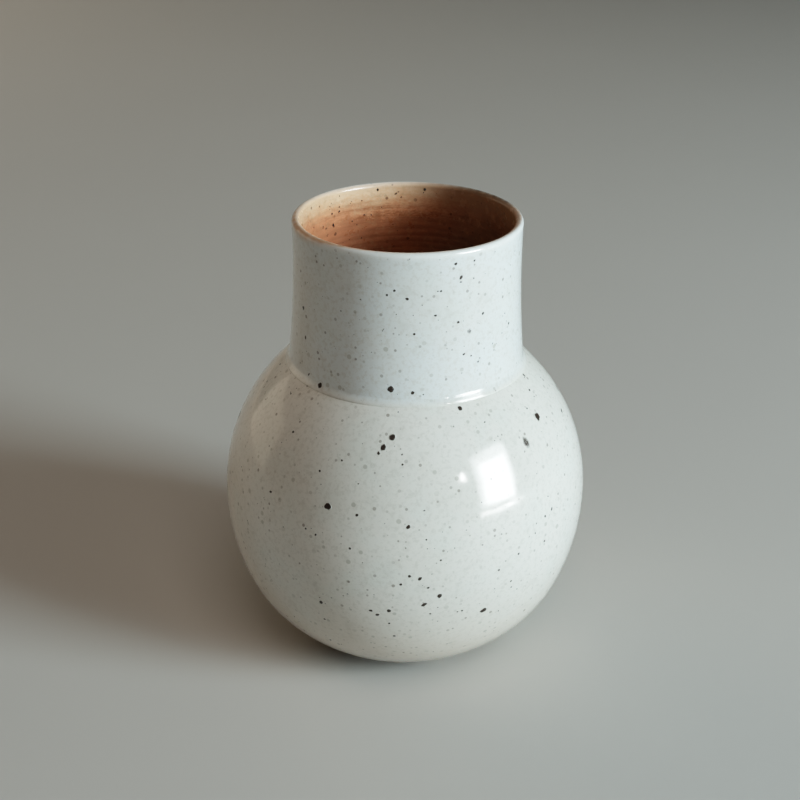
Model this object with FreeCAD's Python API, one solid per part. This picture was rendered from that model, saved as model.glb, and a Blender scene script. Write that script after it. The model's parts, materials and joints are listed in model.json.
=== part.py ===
import FreeCAD, Part
import math
import os

# Small hand-thrown stoneware vase: a globe with a wide, straight-sided collar.
# Millimetres, +Z up. The origin is on the table, on the vase's own axis, and the
# vase stands on Z = 0. Every piece is turned about that axis.
#
# The pieces, from the clay outwards:
#   belly         thrown globe with a closed floor and a rebate round its mouth
#   foot_ring     bare clay ring luted into a shallow groove under the floor
#   neck_collar   thrown collar whose spigot stands in the belly's rebate
#   joint_slip    bed of slip between the collar's spigot and the rebate
#   belly_glaze   first coat, outside, from above the foot to the shoulder
#   neck_glaze    second coat, over the collar, the lip and the top of the mouth
#   liner_glaze   brown coat over the whole of the inside below the neck glaze

os.makedirs("parts", exist_ok=True)

# ---- Belly, measured over its glaze ----
belly_r = 60.0       # greatest radius, and the radius of the round shoulder
belly_z = 54.0       # height of the widest line above the table
flank_r = 74.3       # flatter arc just below the widest line
flank_turn = 20.8    # degrees that the flank arc turns through
under_r = 47.2       # tighter arc that carries the flank under to the base

# ---- Walls and coats ----
coat_t = 0.45        # fired thickness of every glaze coat
wall_t = 4.0         # clay wall of the belly
floor_z = 9.0        # top of the clay floor
floor_fillet_r = 14.0
base_z = 3.0         # flat turned underside of the belly
glaze_stop_z = 5.0   # outer glaze is wiped back to this height

# ---- Foot ring ----
foot_out_r = 30.0
foot_in_r = 25.0
foot_taper = 1.0     # how much narrower the outside is at the table
foot_seat_t = 1.0    # depth of the locating groove in the underside
foot_edge_r = 0.6    # softened edges where the ring meets the table

# ---- Collar and mouth ----
rim_z = 147.3        # overall height
bore_r = 33.5        # clear radius of the mouth, glaze to glaze
lip_r = 1.25         # the lip is half round
waist_z = 137.5      # height of the collar's narrowest place
bow_r = 325.0        # the collar's side is a long hollow arc of this radius
band_depth = 11.5    # how far the pale neck glaze runs down inside the mouth
mouth_fillet_r = 6.0 # clay corner where the collar opens into the belly

# ---- Joint between the collar and the belly ----
seat_z = 97.0        # floor of the rebate in the belly's mouth
spigot_r = 37.6      # outside of the collar's spigot
slip_t = 0.5         # slip bed under and round the spigot

# ---- Lower edge of the neck glaze ----
cove_r = 1.5         # glaze cove in the corner of the shoulder
apron = 0.6          # how far the second coat runs on down the shoulder
roll_t = 0.35        # how far the second coat stands proud of the first
first_coat_r = 38.3  # the belly glaze stops at this radius, under the second coat


def point(r, z):
    return FreeCAD.Vector(r, 0, z)


def line(start, end):
    return Part.makeLine(start, end)


def arc(start, end, centre):
    """The shorter arc from start to end about centre."""
    middle = (start + end) * 0.5 - centre
    middle.normalize()
    return Part.Arc(start, centre + middle * start.distanceToPoint(centre), end).toShape()


def over_lip(start, end, inset):
    """Half round over the top of the lip."""
    return Part.Arc(start, point(lip_c.x, rim_z - inset), end).toShape()


def turned(edges):
    """Solid of revolution from a closed outline in the XZ plane."""
    face = Part.Face(Part.Wire(edges))
    solid = face.revolve(FreeCAD.Vector(0, 0, 0), FreeCAD.Vector(0, 0, 1), 360)
    if solid.Volume < 0:
        solid.reverse()
    return solid


def height_on_circle(centre, radius, r, side):
    """Height at distance r from the axis: side +1 is the upper crossing."""
    return centre.z + side * math.sqrt(radius * radius - (r - centre.x) ** 2)


def reach_on_circle(centre, radius, z, side):
    """Distance from the axis at height z: side +1 is the outer crossing."""
    return centre.x + side * math.sqrt(radius * radius - (z - centre.z) ** 2)


def circles_meet(centre_a, radius_a, centre_b, radius_b, side):
    """One of the two points where two circles cross."""
    across = centre_b - centre_a
    span = across.Length
    along = (span * span + radius_a * radius_a - radius_b * radius_b) / (2 * span)
    off = math.sqrt(radius_a * radius_a - along * along)
    across.normalize()
    left = FreeCAD.Vector(-across.z, 0, across.x)
    return centre_a + across * along + left * (off * side)


def towards(centre, other, distance):
    """Point at a distance from centre, on the way to another point."""
    step = other - centre
    step.normalize()
    return centre + step * distance


# ---- Centres of the arcs that shape the vase ----
turn = math.radians(flank_turn)
globe_c = point(0, belly_z)
flank_c = point(belly_r - flank_r, belly_z)
under_c = point(
    flank_c.x + (flank_r - under_r) * math.cos(turn),
    belly_z - (flank_r - under_r) * math.sin(turn),
)
inner_inset = coat_t + wall_t

# The lip's centre lies on the bore side, and the collar's long arc is placed so
# that it runs into the lip without a corner.
lip_c = point(bore_r + lip_r, rim_z - lip_r)
bow_c = point(
    lip_c.x + math.sqrt((bow_r + lip_r) ** 2 - (lip_c.z - waist_z) ** 2),
    waist_z,
)
band_z = rim_z - band_depth
rebate_r = spigot_r + slip_t
clay_bore_r = bore_r + coat_t

# Clay corner between the bore and the round inside of the shoulder.
mouth_c = point(
    clay_bore_r + mouth_fillet_r,
    height_on_circle(globe_c, belly_r - inner_inset + mouth_fillet_r, clay_bore_r + mouth_fillet_r, 1),
)


def globe_point(inset, r):
    """Point on the round shoulder, inset from the glazed surface."""
    return point(r, height_on_circle(globe_c, belly_r - inset, r, 1))


def widest_point(inset):
    return point(belly_r - inset, belly_z)


def flank_end(inset):
    """Where the flank arc hands over to the under arc."""
    radius = flank_r - inset
    return point(flank_c.x + radius * math.cos(turn), belly_z - radius * math.sin(turn))


def under_point(inset, z):
    return point(reach_on_circle(under_c, under_r - inset, z, 1), z)


def inside_outline(inset):
    """Inside of the belly, from the axis at the floor to the shoulder corner.

    The inset is measured from the outer glazed surface; coats on the inside
    have a larger inset than the clay."""
    lift = inset - inner_inset
    level = floor_z + lift
    fillet_r = floor_fillet_r - lift
    gap = under_r - inset - fillet_r
    centre_z = level + fillet_r
    centre = point(under_c.x + math.sqrt(gap * gap - (centre_z - under_c.z) ** 2), centre_z)
    flat_end = point(centre.x, level)
    fillet_end = towards(under_c, centre, under_r - inset)
    shoulder_end = towards(globe_c, mouth_c, belly_r - inset)
    return [
        line(point(0, level), flat_end),
        arc(flat_end, fillet_end, centre),
        arc(fillet_end, flank_end(inset), under_c),
        arc(flank_end(inset), widest_point(inset), flank_c),
        arc(widest_point(inset), shoulder_end, globe_c),
    ]


def mouth_corner_point(z):
    """Point on the clay corner inside the shoulder."""
    return point(reach_on_circle(mouth_c, mouth_fillet_r, z, -1), z)


def make_belly():
    inside = inside_outline(inner_inset)
    shoulder_end = inside[-1].Vertexes[-1].Point
    seat_in = mouth_corner_point(seat_z)
    seat_out = point(rebate_r, seat_z)
    rebate_top = globe_point(coat_t, rebate_r)
    widest = widest_point(coat_t)
    flank = flank_end(coat_t)
    base_edge = under_point(coat_t, base_z)
    groove_out_low = point(foot_out_r, base_z)
    groove_out_high = point(foot_out_r, base_z + foot_seat_t)
    groove_in_high = point(foot_in_r, base_z + foot_seat_t)
    groove_in_low = point(foot_in_r, base_z)
    outline = inside + [
        arc(shoulder_end, seat_in, mouth_c),
        line(seat_in, seat_out),
        line(seat_out, rebate_top),
        arc(rebate_top, widest, globe_c),
        arc(widest, flank, flank_c),
        arc(flank, base_edge, under_c),
        line(base_edge, groove_out_low),
        line(groove_out_low, groove_out_high),
        line(groove_out_high, groove_in_high),
        line(groove_in_high, groove_in_low),
        line(groove_in_low, point(0, base_z)),
        line(point(0, base_z), point(0, floor_z)),
    ]
    return turned(outline)


def make_foot_ring():
    top = base_z + foot_seat_t
    outer_top = point(foot_out_r, top)
    outer_base = point(foot_out_r, base_z)
    outer_low = point(foot_out_r - foot_taper, foot_edge_r)
    outer_toe = point(foot_out_r - foot_taper - foot_edge_r, 0)
    inner_toe = point(foot_in_r + foot_edge_r, 0)
    inner_low = point(foot_in_r, foot_edge_r)
    inner_top = point(foot_in_r, top)
    outline = [
        line(outer_top, outer_base),
        line(outer_base, outer_low),
        arc(outer_low, outer_toe, point(outer_toe.x, foot_edge_r)),
        line(outer_toe, inner_toe),
        arc(inner_toe, inner_low, point(inner_toe.x, foot_edge_r)),
        line(inner_low, inner_top),
        line(inner_top, outer_top),
    ]
    return turned(outline)


def spigot_top():
    """Where the spigot runs into the collar's hollow outside, in clay."""
    return point(spigot_r, height_on_circle(bow_c, bow_r + coat_t, spigot_r, -1))


def lip_outer(inset):
    """Where the lip's half round meets the collar's outside."""
    return towards(bow_c, lip_c, bow_r + inset)


def make_neck_collar():
    foot_in = mouth_corner_point(seat_z + slip_t)
    bore_low = point(clay_bore_r, mouth_c.z)
    bore_high = point(clay_bore_r, lip_c.z)
    outer_high = lip_outer(coat_t)
    outer_low = spigot_top()
    foot_out = point(spigot_r, seat_z + slip_t)
    outline = [
        arc(foot_in, bore_low, mouth_c),
        line(bore_low, bore_high),
        over_lip(bore_high, outer_high, coat_t),
        arc(outer_high, outer_low, bow_c),
        line(outer_low, foot_out),
        line(foot_out, foot_in),
    ]
    return turned(outline)


def make_joint_slip():
    seat_in = mouth_corner_point(seat_z)
    foot_in = mouth_corner_point(seat_z + slip_t)
    outline = [
        line(seat_in, point(rebate_r, seat_z)),
        line(point(rebate_r, seat_z), globe_point(coat_t, rebate_r)),
        line(globe_point(coat_t, rebate_r), spigot_top()),
        line(spigot_top(), point(spigot_r, seat_z + slip_t)),
        line(point(spigot_r, seat_z + slip_t), foot_in),
        arc(foot_in, seat_in, mouth_c),
    ]
    return turned(outline)


def first_coat_top(inset):
    """Upper end of the belly glaze, cut square to the shoulder."""
    clay = globe_point(coat_t, first_coat_r)
    return towards(globe_c, clay, belly_r - inset)


def make_belly_glaze():
    clay_low = under_point(coat_t, glaze_stop_z)
    skin_low = towards(under_c, clay_low, under_r)
    outline = [
        line(clay_low, skin_low),
        arc(skin_low, flank_end(0), under_c),
        arc(flank_end(0), widest_point(0), flank_c),
        arc(widest_point(0), first_coat_top(0), globe_c),
        line(first_coat_top(0), first_coat_top(coat_t)),
        arc(first_coat_top(coat_t), widest_point(coat_t), globe_c),
        arc(widest_point(coat_t), flank_end(coat_t), flank_c),
        arc(flank_end(coat_t), clay_low, under_c),
    ]
    return turned(outline)


def make_neck_glaze():
    cove_c = circles_meet(globe_c, belly_r + roll_t + cove_r, bow_c, bow_r - cove_r, 1)
    cove_high = towards(bow_c, cove_c, bow_r)
    cove_low = towards(globe_c, cove_c, belly_r + roll_t)
    edge_angle = math.atan2(cove_low.z - belly_z, cove_low.x) - apron / belly_r
    edge_way = point(math.cos(edge_angle), belly_z + math.sin(edge_angle))
    edge_c = towards(globe_c, edge_way, belly_r)
    edge_top = towards(globe_c, edge_way, belly_r + roll_t)
    edge_foot = circles_meet(globe_c, belly_r, edge_c, roll_t, -1)
    rebate_top = globe_point(coat_t, rebate_r)
    outline = [
        line(point(bore_r, band_z), point(bore_r, lip_c.z)),
        over_lip(point(bore_r, lip_c.z), lip_outer(0), 0),
        arc(lip_outer(0), cove_high, bow_c),
        arc(cove_high, cove_low, cove_c),
        arc(cove_low, edge_top, globe_c),
        arc(edge_top, edge_foot, edge_c),
        arc(edge_foot, first_coat_top(0), globe_c),
        line(first_coat_top(0), first_coat_top(coat_t)),
        arc(first_coat_top(coat_t), rebate_top, globe_c),
        line(rebate_top, spigot_top()),
        arc(spigot_top(), lip_outer(coat_t), bow_c),
        over_lip(lip_outer(coat_t), point(clay_bore_r, lip_c.z), coat_t),
        line(point(clay_bore_r, lip_c.z), point(clay_bore_r, band_z)),
        line(point(clay_bore_r, band_z), point(bore_r, band_z)),
    ]
    return turned(outline)


def make_liner_glaze():
    clay = inside_outline(inner_inset)
    skin = inside_outline(inner_inset + coat_t)
    clay_shoulder = clay[-1].Vertexes[-1].Point
    skin_shoulder = skin[-1].Vertexes[-1].Point
    clay_low = point(clay_bore_r, mouth_c.z)
    skin_low = point(bore_r, mouth_c.z)
    outline = clay + [
        arc(clay_shoulder, clay_low, mouth_c),
        line(clay_low, point(clay_bore_r, band_z)),
        line(point(clay_bore_r, band_z), point(bore_r, band_z)),
        line(point(bore_r, band_z), skin_low),
        arc(skin_low, skin_shoulder, mouth_c),
    ]
    outline += list(reversed(skin))
    outline.append(line(point(0, floor_z + coat_t), point(0, floor_z)))
    return turned(Part.__sortEdges__(outline))


pieces = {
    "belly": make_belly(),
    "foot_ring": make_foot_ring(),
    "neck_collar": make_neck_collar(),
    "joint_slip": make_joint_slip(),
    "belly_glaze": make_belly_glaze(),
    "neck_glaze": make_neck_glaze(),
    "liner_glaze": make_liner_glaze(),
}
for name, solid in pieces.items():
    solid.exportStep("parts/" + name + ".step")
    print(name, solid.ShapeType, solid.isValid(), round(solid.Volume, 1))
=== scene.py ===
import json
import math
import random

import bpy
import numpy as np
from mathutils import Matrix, Quaternion, Vector


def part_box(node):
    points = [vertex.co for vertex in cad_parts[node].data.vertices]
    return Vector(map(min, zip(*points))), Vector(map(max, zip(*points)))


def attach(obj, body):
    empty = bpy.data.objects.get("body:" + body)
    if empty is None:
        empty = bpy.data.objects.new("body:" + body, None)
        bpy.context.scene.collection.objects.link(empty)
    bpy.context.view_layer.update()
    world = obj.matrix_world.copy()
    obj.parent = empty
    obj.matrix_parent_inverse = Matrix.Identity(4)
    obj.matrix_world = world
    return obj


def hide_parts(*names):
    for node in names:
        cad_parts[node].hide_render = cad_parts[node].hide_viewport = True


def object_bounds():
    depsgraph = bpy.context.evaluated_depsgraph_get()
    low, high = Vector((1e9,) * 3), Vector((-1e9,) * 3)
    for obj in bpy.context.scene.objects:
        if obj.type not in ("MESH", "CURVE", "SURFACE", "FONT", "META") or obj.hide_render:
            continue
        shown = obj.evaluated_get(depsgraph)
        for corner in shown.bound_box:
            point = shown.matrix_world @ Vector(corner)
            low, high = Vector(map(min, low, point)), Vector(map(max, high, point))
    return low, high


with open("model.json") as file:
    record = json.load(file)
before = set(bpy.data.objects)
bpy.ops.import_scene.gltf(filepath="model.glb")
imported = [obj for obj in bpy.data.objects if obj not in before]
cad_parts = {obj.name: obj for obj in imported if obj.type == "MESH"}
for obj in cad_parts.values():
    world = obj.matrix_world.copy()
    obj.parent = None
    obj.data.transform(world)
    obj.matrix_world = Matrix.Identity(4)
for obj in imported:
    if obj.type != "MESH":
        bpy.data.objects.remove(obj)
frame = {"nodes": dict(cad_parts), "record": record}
CAD_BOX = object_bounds()
RECORD = frame["record"]
MM = 0.001
SEED = 41
random.seed(SEED)
rng = np.random.default_rng(SEED)

# ------------------------------------------------------------------ sizes from the frame
RIM_Z = CAD_BOX[1].z
BELLY_R = round(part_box("belly_glaze")[1].x / MM) * MM
MOUTH = next(m for m in RECORD["mounts"] if m["name"] == "mouth")
BORE_R = MOUTH["dims"]["r_mm"] * MM
BAND_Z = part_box("liner_glaze")[1].z          # where neck glaze hands over to liner glaze
FLOOR_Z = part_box("liner_glaze")[0].z         # top of the clay floor
BASE_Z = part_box("belly")[0].z                # turned underside of the belly
FOOT_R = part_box("foot_ring")[1].x

# Proportions of the thrown form, the same arcs as the turned solids.
BELLY_Z = 0.9 * BELLY_R
FLANK_R = 74.3 * MM
FLANK_TURN = math.radians(20.8)
UNDER_R = 47.2 * MM
COAT = 0.45 * MM
WALL = 4.0 * MM
FLOOR_FILLET = 14.0 * MM
GLAZE_STOP_Z = 5.0 * MM
FOOT_IN_R = 25.0 * MM
FOOT_TAPER = 1.0 * MM
FOOT_SEAT = 1.0 * MM
FOOT_EDGE = 0.6 * MM
LIP_R = 1.25 * MM
WAIST_Z = 137.5 * MM
BOW_R = 325.0 * MM
MOUTH_FILLET = 6.0 * MM
REBATE_R = 38.1 * MM
SPIGOT_R = 37.6 * MM
FIRST_COAT_R = 38.3 * MM      # where the first coat stops under the second
BASE_EDGE = 0.8 * MM

# Lower end of the second coat, and the pot's slight lean.
FLARE_RISE = 1.6 * MM
FLARE_START = math.radians(10)
FLARE_POINTS = 20
NOSE_REACH = 0.60 * MM
NOSE_R = 0.9 * MM
NOSE_LIFT = -0.56 * MM
NOSE_FROM = math.radians(25)
NOSE_TO = math.radians(-10)
TUCK = 0.05 * MM
LEAN = 0.0022

GLOBE_C = np.array([0.0, BELLY_Z])
FLANK_C = np.array([BELLY_R - FLANK_R, BELLY_Z])
UNDER_C = FLANK_C + (FLANK_R - UNDER_R) * np.array(
    [math.cos(FLANK_TURN), -math.sin(FLANK_TURN)])
LIP_C = np.array([BORE_R + LIP_R, RIM_Z - LIP_R])
BOW_C = np.array([
    LIP_C[0] + math.sqrt((BOW_R + LIP_R) ** 2 - (LIP_C[1] - WAIST_Z) ** 2), WAIST_Z])
INNER = COAT + WALL
CLAY_BORE = BORE_R + COAT
CORNER_R = CLAY_BORE + MOUTH_FILLET
MOUTH_C = np.array([
    CORNER_R,
    BELLY_Z + math.sqrt((BELLY_R - INNER + MOUTH_FILLET) ** 2 - CORNER_R ** 2)])


# ------------------------------------------------------------------ outlines in the (r, z) plane
def angle(c, p):
    return math.atan2(p[1] - c[1], p[0] - c[0])


def arc(c, radius, a0, a1, step):
    n = max(2, int(math.ceil(abs(a1 - a0) * radius / step)) + 1)
    a = np.linspace(a0, a1, n)
    return np.stack([c[0] + radius * np.cos(a), c[1] + radius * np.sin(a)], 1)


def seg(p, q, step):
    n = max(2, int(math.ceil(math.dist(p, q) / step)) + 1)
    t = np.linspace(0, 1, n)[:, None]
    return np.asarray(p) * (1 - t) + np.asarray(q) * t


def join(*runs):
    out = [runs[0]]
    for r in runs[1:]:
        out.append(r[1:] if np.allclose(out[-1][-1], r[0], atol=1e-7) else r)
    return np.concatenate(out)


def globe_at(inset, r):
    return np.array([r, BELLY_Z + math.sqrt((BELLY_R - inset) ** 2 - r * r)])


def under_at(inset, z):
    drop = z - UNDER_C[1]
    return np.array([UNDER_C[0] + math.sqrt((UNDER_R - inset) ** 2 - drop ** 2), z])


def outer_skin(inset, top, bottom, step):
    """Shoulder to foot down the outside, from point top to point bottom."""
    return join(
        arc(GLOBE_C, BELLY_R - inset, angle(GLOBE_C, top), 0, step),
        arc(FLANK_C, FLANK_R - inset, 0, -FLANK_TURN, step),
        arc(UNDER_C, UNDER_R - inset, -FLANK_TURN, angle(UNDER_C, bottom), step),
    )


def floor_parts(inset):
    """Height of the floor, radius of its fillet and the fillet's centre."""
    lift = inset - INNER
    level = FLOOR_Z + lift
    fr = FLOOR_FILLET - lift
    gap = UNDER_R - inset - fr
    cz = level + fr
    c = np.array([UNDER_C[0] + math.sqrt(gap * gap - (cz - UNDER_C[1]) ** 2), cz])
    return level, fr, c


def inner_skin(inset, step):
    """Belly's inside, from the axis at the floor up to the corner below the collar."""
    level, fr, c = floor_parts(inset)
    a_end = angle(UNDER_C, c)
    return join(
        seg((0, level), (c[0], level), step),
        arc(c, fr, -math.pi / 2, a_end, step),
        arc(UNDER_C, UNDER_R - inset, a_end, -FLANK_TURN, step),
        arc(FLANK_C, FLANK_R - inset, -FLANK_TURN, 0, step),
        arc(GLOBE_C, BELLY_R - inset, 0, angle(GLOBE_C, MOUTH_C), step),
    )


def bow_at(z):
    """Point on the collar's outside, which is a little hollow in profile."""
    return np.array([BOW_C[0] - math.sqrt(BOW_R ** 2 - (z - WAIST_Z) ** 2), z])


def towards(turn):
    return np.array([math.cos(turn), math.sin(turn)])


def full_turn(value):
    return value % (2 * math.pi)


LIP_END = angle(LIP_C, BOW_C)       # where the lip's round meets the collar's outside
FIRST_TOP = globe_at(0, FIRST_COAT_R * (BELLY_R / (BELLY_R - COAT)))


def circles_meet(ca, ra, cb, rb, side):
    """Where two circles cross, on the chosen side of the line between centres."""
    across = cb - ca
    span = np.linalg.norm(across)
    along = (span ** 2 + ra ** 2 - rb ** 2) / (2 * span)
    off = math.sqrt(ra ** 2 - along ** 2)
    across = across / span
    return ca + across * along + np.array([-across[1], across[0]]) * off * side


# ------------------------------------------------------------------ hand-made irregularity
def harmonics(count, low, high, size, falloff=1.0):
    """A few random (wave number, height wave number, phase, size) terms."""
    return [
        (rng.integers(low, high + 1), rng.uniform(-1, 1),
         rng.uniform(0, 2 * math.pi), size / (1 + i) ** falloff)
        for i in range(count)
    ]


OVAL = harmonics(3, 2, 3, 0.10 * MM)
SKIN_WAVE = harmonics(7, 1, 5, 0.035 * MM, 0.5)

# Finger ridges: distance between them and depth, outside and in, and how much of the
# depth is left at each height inside.
OUTER_PITCH = 5.2 * MM
OUTER_DEPTH = 0.012 * MM
RING_PITCH = 2.3 * MM
RING_DEPTH = 0.06 * MM
RING_HEIGHTS = [0.0, 0.090, 0.110, 0.138, 0.144, RIM_Z - LIP_R]
RING_SIZES = [2.4, 2.0, 1.1, 0.9, 0.25, 0.0]


def lean_at(z):
    return LEAN * (z - BELLY_Z) * np.clip(z / BELLY_Z, 0, 1)


def warp(theta, r, z):
    """Turns (theta, r, z) into x, y, z with the slight lean and oval of a hand-thrown
    pot. theta is measured from the camera side (-Y) towards +X."""
    oval = sum(s * np.cos(k * theta + q * z * 30 + p) for k, q, p, s in OVAL)
    grow = np.clip(r / BELLY_R, 0, 1)
    rr = r + oval * grow
    x = rr * np.sin(theta)
    y = -rr * np.cos(theta)
    return x + lean_at(z), y, z


def throwing_rings(theta, z, pitch, depth):
    """Finger ridges left by throwing, running up the wall as one long spiral."""
    turn = z / pitch * 2 * math.pi
    wander = (1.3 * np.sin(z * 210 + 0.6) + 0.8 * np.sin(z * 470 + 2.0)
              + 0.35 * np.sin(2 * theta + z * 90))
    main = np.sin(turn + theta + wander)
    fine = np.sin(turn * 2.37 - theta + 1.7 * wander + 1.0)
    vary = 0.75 + 0.25 * np.sin(z * 330 + theta)
    return depth * vary * (0.72 * main + 0.28 * fine)


def outside_relief(theta, z):
    """Very slight unevenness of the glazed outside, along the normal."""
    slow = sum(a * np.sin(k * theta + q * z * 90 + p) for k, q, p, a in SKIN_WAVE)
    return slow + throwing_rings(theta, z, OUTER_PITCH, OUTER_DEPTH)


def inside_relief(theta, z):
    """Finger ridges inside: almost smooth under the lip, plainer further down."""
    size = np.interp(z, RING_HEIGHTS, RING_SIZES)
    patchy = 0.62 + 0.38 * np.sin(theta + z * 260) * np.sin(2 * theta - z * 410 + 1.3)
    return throwing_rings(theta, z, RING_PITCH, RING_DEPTH) * size * patchy


# ------------------------------------------------------------------ lathe
SHARP_ANGLE = math.radians(40)
ON_AXIS = 1e-7
ROUND_GLAZE = 360        # steps round the axis
ROUND_LINER = 320
ROUND_CLAY = 256


def normals(outline, closed):
    """Unit normals to the left of travel round an outline."""
    if closed:
        d = np.roll(outline, -1, 0) - np.roll(outline, 1, 0)
    else:
        d = np.gradient(outline, axis=0)
    n = np.stack([-d[:, 1], d[:, 0]], 1)
    return n / np.maximum(np.linalg.norm(n, axis=1, keepdims=True), 1e-12)


def run_length(points):
    """Distance travelled along a run of points, at each point."""
    steps = np.linalg.norm(np.diff(points, axis=0), axis=1)
    return np.concatenate([[0], np.cumsum(steps)])


def add_object(name, verts, faces, values):
    """Smooth-shaded mesh object with one float attribute for each entry of values."""
    mesh = bpy.data.meshes.new(name)
    mesh.from_pydata(verts, [], faces)
    mesh.polygons.foreach_set("use_smooth", [True] * len(mesh.polygons))
    for key, column in values.items():
        layer = mesh.attributes.new(key, "FLOAT", "POINT")
        layer.data.foreach_set("value", np.asarray(column, np.float32))
    mesh.validate()
    mesh.update()
    obj = bpy.data.objects.new(name, mesh)
    bpy.context.scene.collection.objects.link(obj)
    return obj


def lathe(name, outline, count, push, extra=None):
    """Closed ring-shaped (or capped) solid. The outline goes round so that the
    material is on its right. push(theta, r, z) moves the skin along the normal, and
    extra holds functions of the same three for the mesh's attributes."""
    out = np.asarray(outline, float)
    n = normals(out, True)
    theta = np.linspace(0, 2 * math.pi, count, endpoint=False)
    T, R = np.meshgrid(theta, out[:, 0], indexing="ij")
    Z = np.tile(out[:, 1], (count, 1))
    D = push(T, R, Z)
    poles = out[:, 0] < ON_AXIS
    D = np.where(poles[None, :], D[:1, :], D)
    RR = np.maximum(R + D * n[None, :, 0] * ~poles[None, :], 0)
    X, Y, ZZ = warp(T, RR, Z + D * n[None, :, 1])
    fields = {k: f(T, R, Z) for k, f in (extra or {}).items()}
    values = {k: [] for k in fields}
    m = len(out)
    index = np.zeros((count, m), int)
    verts = []
    total = 0
    for j in range(m):
        if poles[j]:
            index[:, j] = total
            verts.append([[lean_at(ZZ[0, j]), 0, ZZ[0, j]]])
            used = 1
        else:
            index[:, j] = total + np.arange(count)
            verts.append(np.stack([X[:, j], Y[:, j], ZZ[:, j]], 1))
            used = count
        for k in values:
            values[k].append(fields[k][:used, j])
        total += used
    faces = []
    for j in range(m):
        k = (j + 1) % m
        if poles[j] and poles[k]:
            continue
        a, b = index[:, j].tolist(), index[:, k].tolist()
        a2, b2 = a[1:] + a[:1], b[1:] + b[:1]
        if poles[j]:
            faces += list(zip(a, b, b2))
        elif poles[k]:
            faces += list(zip(a, b, a2))
        else:
            faces += list(zip(a, b, b2, a2))
    columns = {k: np.concatenate(parts) for k, parts in values.items()}
    obj = add_object(name, np.concatenate(verts).tolist(), faces, columns)
    obj.data.set_sharp_from_angle(angle=SHARP_ANGLE)
    return obj


# ------------------------------------------------------------------ the pieces
def make_belly_coat():
    clay_low = under_at(COAT, GLAZE_STOP_Z)
    low = UNDER_C + (clay_low - UNDER_C) / np.linalg.norm(clay_low - UNDER_C) * UNDER_R
    skin = outer_skin(0, FIRST_TOP, low, 1.0 * MM)
    clay = outer_skin(COAT, globe_at(COAT, FIRST_COAT_R), clay_low, 5.0 * MM)[::-1]
    edge_c = (low + clay_low) / 2
    turn = angle(edge_c, low)
    roll = arc(edge_c, COAT / 2, turn, turn - math.pi, 0.15 * MM)
    outline = join(skin, roll, clay)
    on_skin = (np.arange(len(outline)) < len(skin))[None, :]

    def push(t, r, z):
        return outside_relief(t, z) * on_skin

    return lathe("belly_coat", outline, ROUND_GLAZE, push), skin


def neck_foot():
    """Lower end of the second coat: it flares off the collar's wall and ends in a
    rounded nose on the first coat."""
    corner = circles_meet(GLOBE_C, BELLY_R, BOW_C, BOW_R, 1)
    high = bow_at(corner[1] + FLARE_RISE)
    nose_c = GLOBE_C + (BELLY_R + NOSE_LIFT) * towards(
        angle(GLOBE_C, corner) - NOSE_REACH / BELLY_R)
    low = nose_c + NOSE_R * towards(NOSE_FROM)
    start = angle(high, BOW_C) + FLARE_START
    reach = np.linalg.norm(low - high) / 3
    a, b, c, d = (high, high - reach * towards(start + math.pi / 2),
                  low + reach * towards(NOSE_FROM + math.pi / 2), low)
    t = np.linspace(0, 1, FLARE_POINTS)[:, None]
    flare = (1 - t) ** 3 * a + 3 * t * (1 - t) ** 2 * b + 3 * t * t * (1 - t) * c + t ** 3 * d
    nose = arc(nose_c, NOSE_R, NOSE_FROM, NOSE_TO, 0.08 * MM)
    return high, flare, nose


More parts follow.
